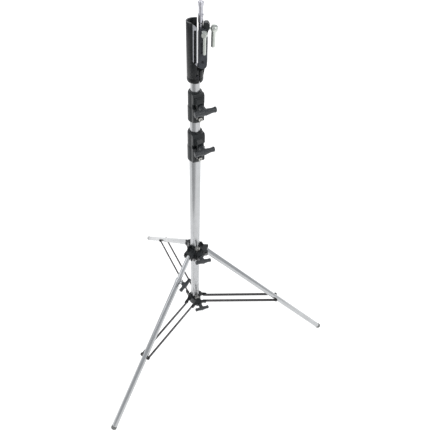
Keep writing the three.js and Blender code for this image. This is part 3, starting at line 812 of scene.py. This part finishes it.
def head_housing():
    r, inner, neck = 21.5, 17.6, TOP_R - 2
    shell = turned([
        (neck, BOTTOM), (r - 5, BOTTOM), (r - 2, BOTTOM + 2), (r, BOTTOM + 6),
        (r, BOTTOM + 13.2), (r - 0.6, BOTTOM + 13.6), (r, BOTTOM + 14), (r, TOP),
        (inner, TOP), (inner, SILL - 2), (neck, SILL - 2),
    ], 128)
    tongue = [(inner - 3, BOTTOM + 16), (r - 0.5, BOTTOM + 16), (PIVOT_X + 8, PIVOT_Z - 6)]
    tongue += arc(PIVOT_X, PIVOT_Z, 8.6, -0.5, PI) + [(PIVOT_X - 8.6, SILL - 3)]
    front = [
        (CUT_X, SILL + 4), (12, SILL), (40, SILL), (40, TOP + 9), (-8, TOP + 9), (-8, TOP), (CUT_X, TOP - 9),
    ]
    back = [(BACK_CUT_X, SILL + 4), (12, SILL), (40, SILL), (40, TOP + 9), (BACK_CUT_X, TOP + 9)]
    flat = [(-9, SILL + 26), (CUT_X + 1, SILL + 8), (CUT_X + 1, TOP + 5), (-9, TOP + 5)]
    window = [(-4.6, SILL + 24), (CUT_X + 1, SILL + 12), (CUT_X + 1, TOP + 5), (-4.6, TOP + 5)]
    opened = cut(
        shell, plate(front, -40, 0), plate(back, -0.5, 40), plate(flat, -40, -FLAT_Y), plate(window, -40, -10)
    )
    whole = cut(
        joined(opened, plate(tongue, -4.6, 4.6)),
        rod(TOP_R + 0.3, BOTTOM - 1, 1228.4),
        along_y(rod(3.3, -10, 10, sides=32), PIVOT_X, PIVOT_Z),
        block(11, 13, -30, 0, BOTTOM - 1, SILL + 1),
        along_y(rod(2.4, -40, 0, sides=32), SCREW_X, SCREW_Z),
    )
    return bevelled(whole, 0.5, 2, 40)


def slot_plate():
    strip = [(-4.2, SILL + 24.6), (CUT_X, SILL + 13), (CUT_X, TOP - 9.6), (-4.2, TOP - 3.2)]
    slot = arc(1, 1324, 2.7, 0, PI) + arc(1, 1254, 2.7, PI, 2 * PI)
    return bevelled(cut(plate(strip, -FLAT_Y, -16.8), plate(slot, -40, 0)), 0.35)


housing = piece("housing_shell", head_housing(), "top", GLOSS, COLUMN, ["head_housing"], 28)
housing.data.materials.append(FLAT)
for face in housing.data.polygons:
    x, z = face.center.x / MM, face.center.z / MM
    if z < SILL and 10.9 < x < 13.1 and abs(face.normal.x) > 0.9:
        face.material_index = 1                    # the saw cut through the clamp is bare metal
piece("slot_face", slot_plate(), "top", FLAT, COLUMN, ["slot_plate"])
head_screw = cut(
    turned([(0, -24), (3.2, -24), (3.4, -23.8), (3.4, -22), (2, -22), (2, -13.2), (0, -13.2)], 40),
    rod(1.6, -30, -22.6, sides=6),
)
piece("head_screw", head_screw, "top", DARK_STEEL, COLUMN @ at(SCREW_X, 0, SCREW_Z) @ ALONG_Y,
      ["head_clamp_screw"])
pivot_pin = cut(rod(3, -11, 11, 0.4, 40), rod(1.5, -20, -9, sides=6))
piece("pivot_pin", pivot_pin, "top", DARK_STEEL, COLUMN @ at(PIVOT_X, 0, PIVOT_Z) @ ALONG_Y,
      ["boom_pivot_pin"])

X0, X1, HALF, BRACKET_TOP, END_Z, END_R = 7.4, 30, 12, 1327, 1246, 11.2
ROD_X, ROD_R, ROD_BOTTOM = 12.9, 5.2, 1266
TILT_X, TILT_Z = 22, 1318.5
ROD_LEVER_Z = 1324.5


def boom_bracket():
    side = [(X0, BRACKET_TOP - 6), (X0, END_Z), *arc(PIVOT_X, END_Z, END_R, PI, 2 * PI, 32)]
    side += [(X1, BRACKET_TOP - 26), (X1 - 3, BRACKET_TOP - 20), (X1 - 3, BRACKET_TOP), (X0 + 4, BRACKET_TOP)]
    shape = cut(
        plate(side, -HALF, HALF),
        block(X0 - 5, X1 + 5, -5, 5, END_Z - 20, ROD_BOTTOM - 3),
        moved(rod(ROD_R + 0.4, ROD_BOTTOM - 10, BRACKET_TOP + 10), shift(ROD_X, 0, 0)),
        block(14.5, 18.5, -HALF - 1, -HALF + 3, PIVOT_Z + 20, BRACKET_TOP - 30),
        block(X1 - 9.6, X1 + 5, -8.4, 8.4, BRACKET_TOP - 15, BRACKET_TOP + 5),
        along_y(rod(3.4, -30, 30, sides=32), PIVOT_X, PIVOT_Z),
        along_y(rod(3.4, -30, -6.8, sides=32), TILT_X, TILT_Z - 8),
    )
    return cast(shape, 0.6, 2, 0.4)


def rod_jaw():
    back, brow = X1 - 9.2, ROD_X + ROD_R + 0.8
    top = BRACKET_TOP
    outline = [
        (back, top - 14.4), (X1 - 2, top - 14.4), (X1 + 4, top + 1), (X1 + 4, top + 6), (X1, top + 12),
        (brow + 2.6, top + 12), (brow, top + 9), (brow, top + 0.6), (back, top + 0.6),
    ]
    screw_hole = along_x(rod(3.6, back + 1.7, 50, sides=32), ROD_LEVER_Z)
    shape = cut(plate(eased(outline, 1.5, closed=True), -8, 8), screw_hole)
    return cast(shape, 0.5, 3, 0.45)


piece("bracket_cast", boom_bracket(), "bracket", GREY, COLUMN, ["boom_bracket"], 50)
piece("jaw_cast", rod_jaw(), "bracket", CASTING, COLUMN, ["rod_clamp_jaw"], 60)

ROD_OUTLINE = [
    (0, ROD_BOTTOM), (ROD_R - 0.6, ROD_BOTTOM), (ROD_R, ROD_BOTTOM + 1), (ROD_R, 1336), (6, 1338),
    (6, 1351), (6.8, 1352.5), (6.8, 1354), (5.2, 1355.5), (5.2, 1369), (6.7, 1373.5),
    (6.8, 1378), (6, 1380), (0, 1380),
]
stud = turned(eased(ROD_OUTLINE, 0.5, steps=4), 64)
piece("stud_rod", stud, "rod", STUD, COLUMN @ at(ROD_X, 0, 0), ["boom_rod"], 40)


def ratchet_lever(hub, hub_r, length, offset, r):
    """A turned hub along +X with a round handle hanging from it, moulded as one."""
    core = [
        (0, hub), (5.5, hub), (hub_r - 1, hub + 2), (hub_r, hub + 5), (hub_r - 1, hub + 10),
        (5.5, hub + 15), (0, hub + 15),
    ]
    handle = [(0, -length), (r - 1, -length), (r, -length + 2), (r + 0.1, -8), (r - 0.4, -1), (0, -1)]
    grip = moved(turned(eased(handle, 1.2), 40), shift(hub + 5.5, offset, 0))
    shape = cut(
        joined(along_x(turned(eased(core, 0.8), 56)), grip),
        along_x(rod(3.2, hub - 2, hub + 8, sides=32)),
    )
    return cast(shape, 0.55, 3, 0.4)


for name, body, place, size, screw in (
    ("rod_lever", "rod_lever", COLUMN @ at(0, 0, ROD_LEVER_Z), (37.4, 9.4, 41, 0, 5.1), (23, 45)),
    (
        "tilt_lever", "tilt_lever", COLUMN @ at(TILT_X, 0, TILT_Z) @ spin(-90, "Z"),
        (14.4, 8.4, 46, 1.2, 3.8), (12.4, 22),
    ),
):
    piece(f"{name}_grip", ratchet_lever(*size), body, LEVER, place, [name], 60)
    piece(f"{name}_stud", rod(2.8, *screw, 0.3, 32), body, LEVER, place @ ALONG_X, [f"{name}_screw"])

# ---- Floor and a dim sheet of painted shade ------------------------------------------------------



def sheet(name, outline, z, colour, glow):
    """A flat glowing sheet at height z, its glow running from one side to the other: the floor glows in place
    of lit studio paper, and the dim shade sheet is painted shade.
    """
    mesh = bpy.data.meshes.new(name)
    mesh.from_pydata([(x, y, z) for x, y in outline], [], [list(range(len(outline)))])
    paper = Nodes(name)
    place = paper.object_place()
    tone = paper.noise(place, 3.0, 4.0)
    low = tuple(c * 0.98 for c in colour[:3]) + (1.0,)
    across = paper.add("ShaderNodeSeparateXYZ", Vector=place)
    paper.put(paper.shader.inputs["Base Color"], paper.mix(tone, low, colour))
    paper.put(paper.shader.inputs["Roughness"], 0.9)
    paper.put(paper.shader.inputs["Emission Color"], (1, 1, 1, 1))
    paper.put(paper.shader.inputs["Emission Strength"], paper.fit(across, -0.7, 0.5, *glow))
    mesh.materials.append(paper.material)
    thing = bpy.data.objects.new(name, mesh)
    bpy.context.scene.collection.objects.link(thing)


sheet("floor", [(-9, -9), (9, -9), (9, 14), (-9, 14)], 0, rgb(0.3, 0.3, 0.3), (0.98, 1.02))
# The shade sheet is painted shade: a dim glowing patch of floor on the camera's side, which the tubes reflect
# as a darker band.
shade = [(-0.5, -0.75), (0.35, -1.5), (1.3, -3.2), (1.3, -8), (-7, -8), (-7, -3.2), (-1.2, -0.62)]
sheet("shade", shade, 0.002, rgb(0.3, 0.3, 0.3), (0.3, 0.6))
